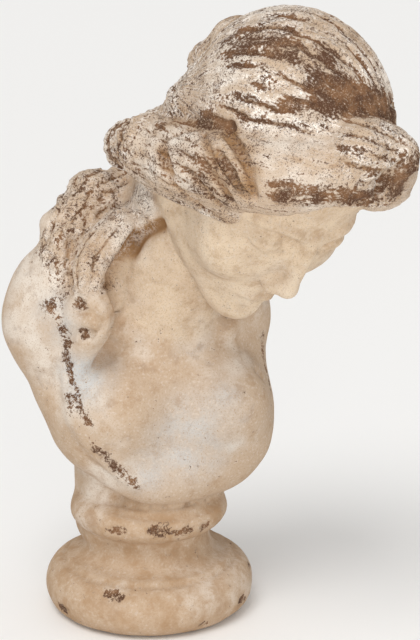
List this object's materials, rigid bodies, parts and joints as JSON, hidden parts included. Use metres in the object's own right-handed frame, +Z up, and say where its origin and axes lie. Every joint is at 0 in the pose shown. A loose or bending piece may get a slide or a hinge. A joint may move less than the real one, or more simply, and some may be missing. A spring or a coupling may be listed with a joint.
{
  "type": "sculpted bust on socle",
  "caption": "Cast plaster bust of a young woman, her head deeply bowed and turned to her left, with combed hair and locks over her right shoulder, on a round moulded socle.",
  "frame": {"origin": "centre of the socle's round underside", "axes": "+Z up; the chest faces -Y and her left is +X"},
  "size_m": [0.3038, 0.3377, 0.5476],
  "materials": {
    "plaster": "matte chalky cream paint on plaster, worn and flaked to brown on the hair, the locks and the edges"
  },
  "bodies": {
    "root": {"bust": "plaster"}
  },
  "joints": []
}
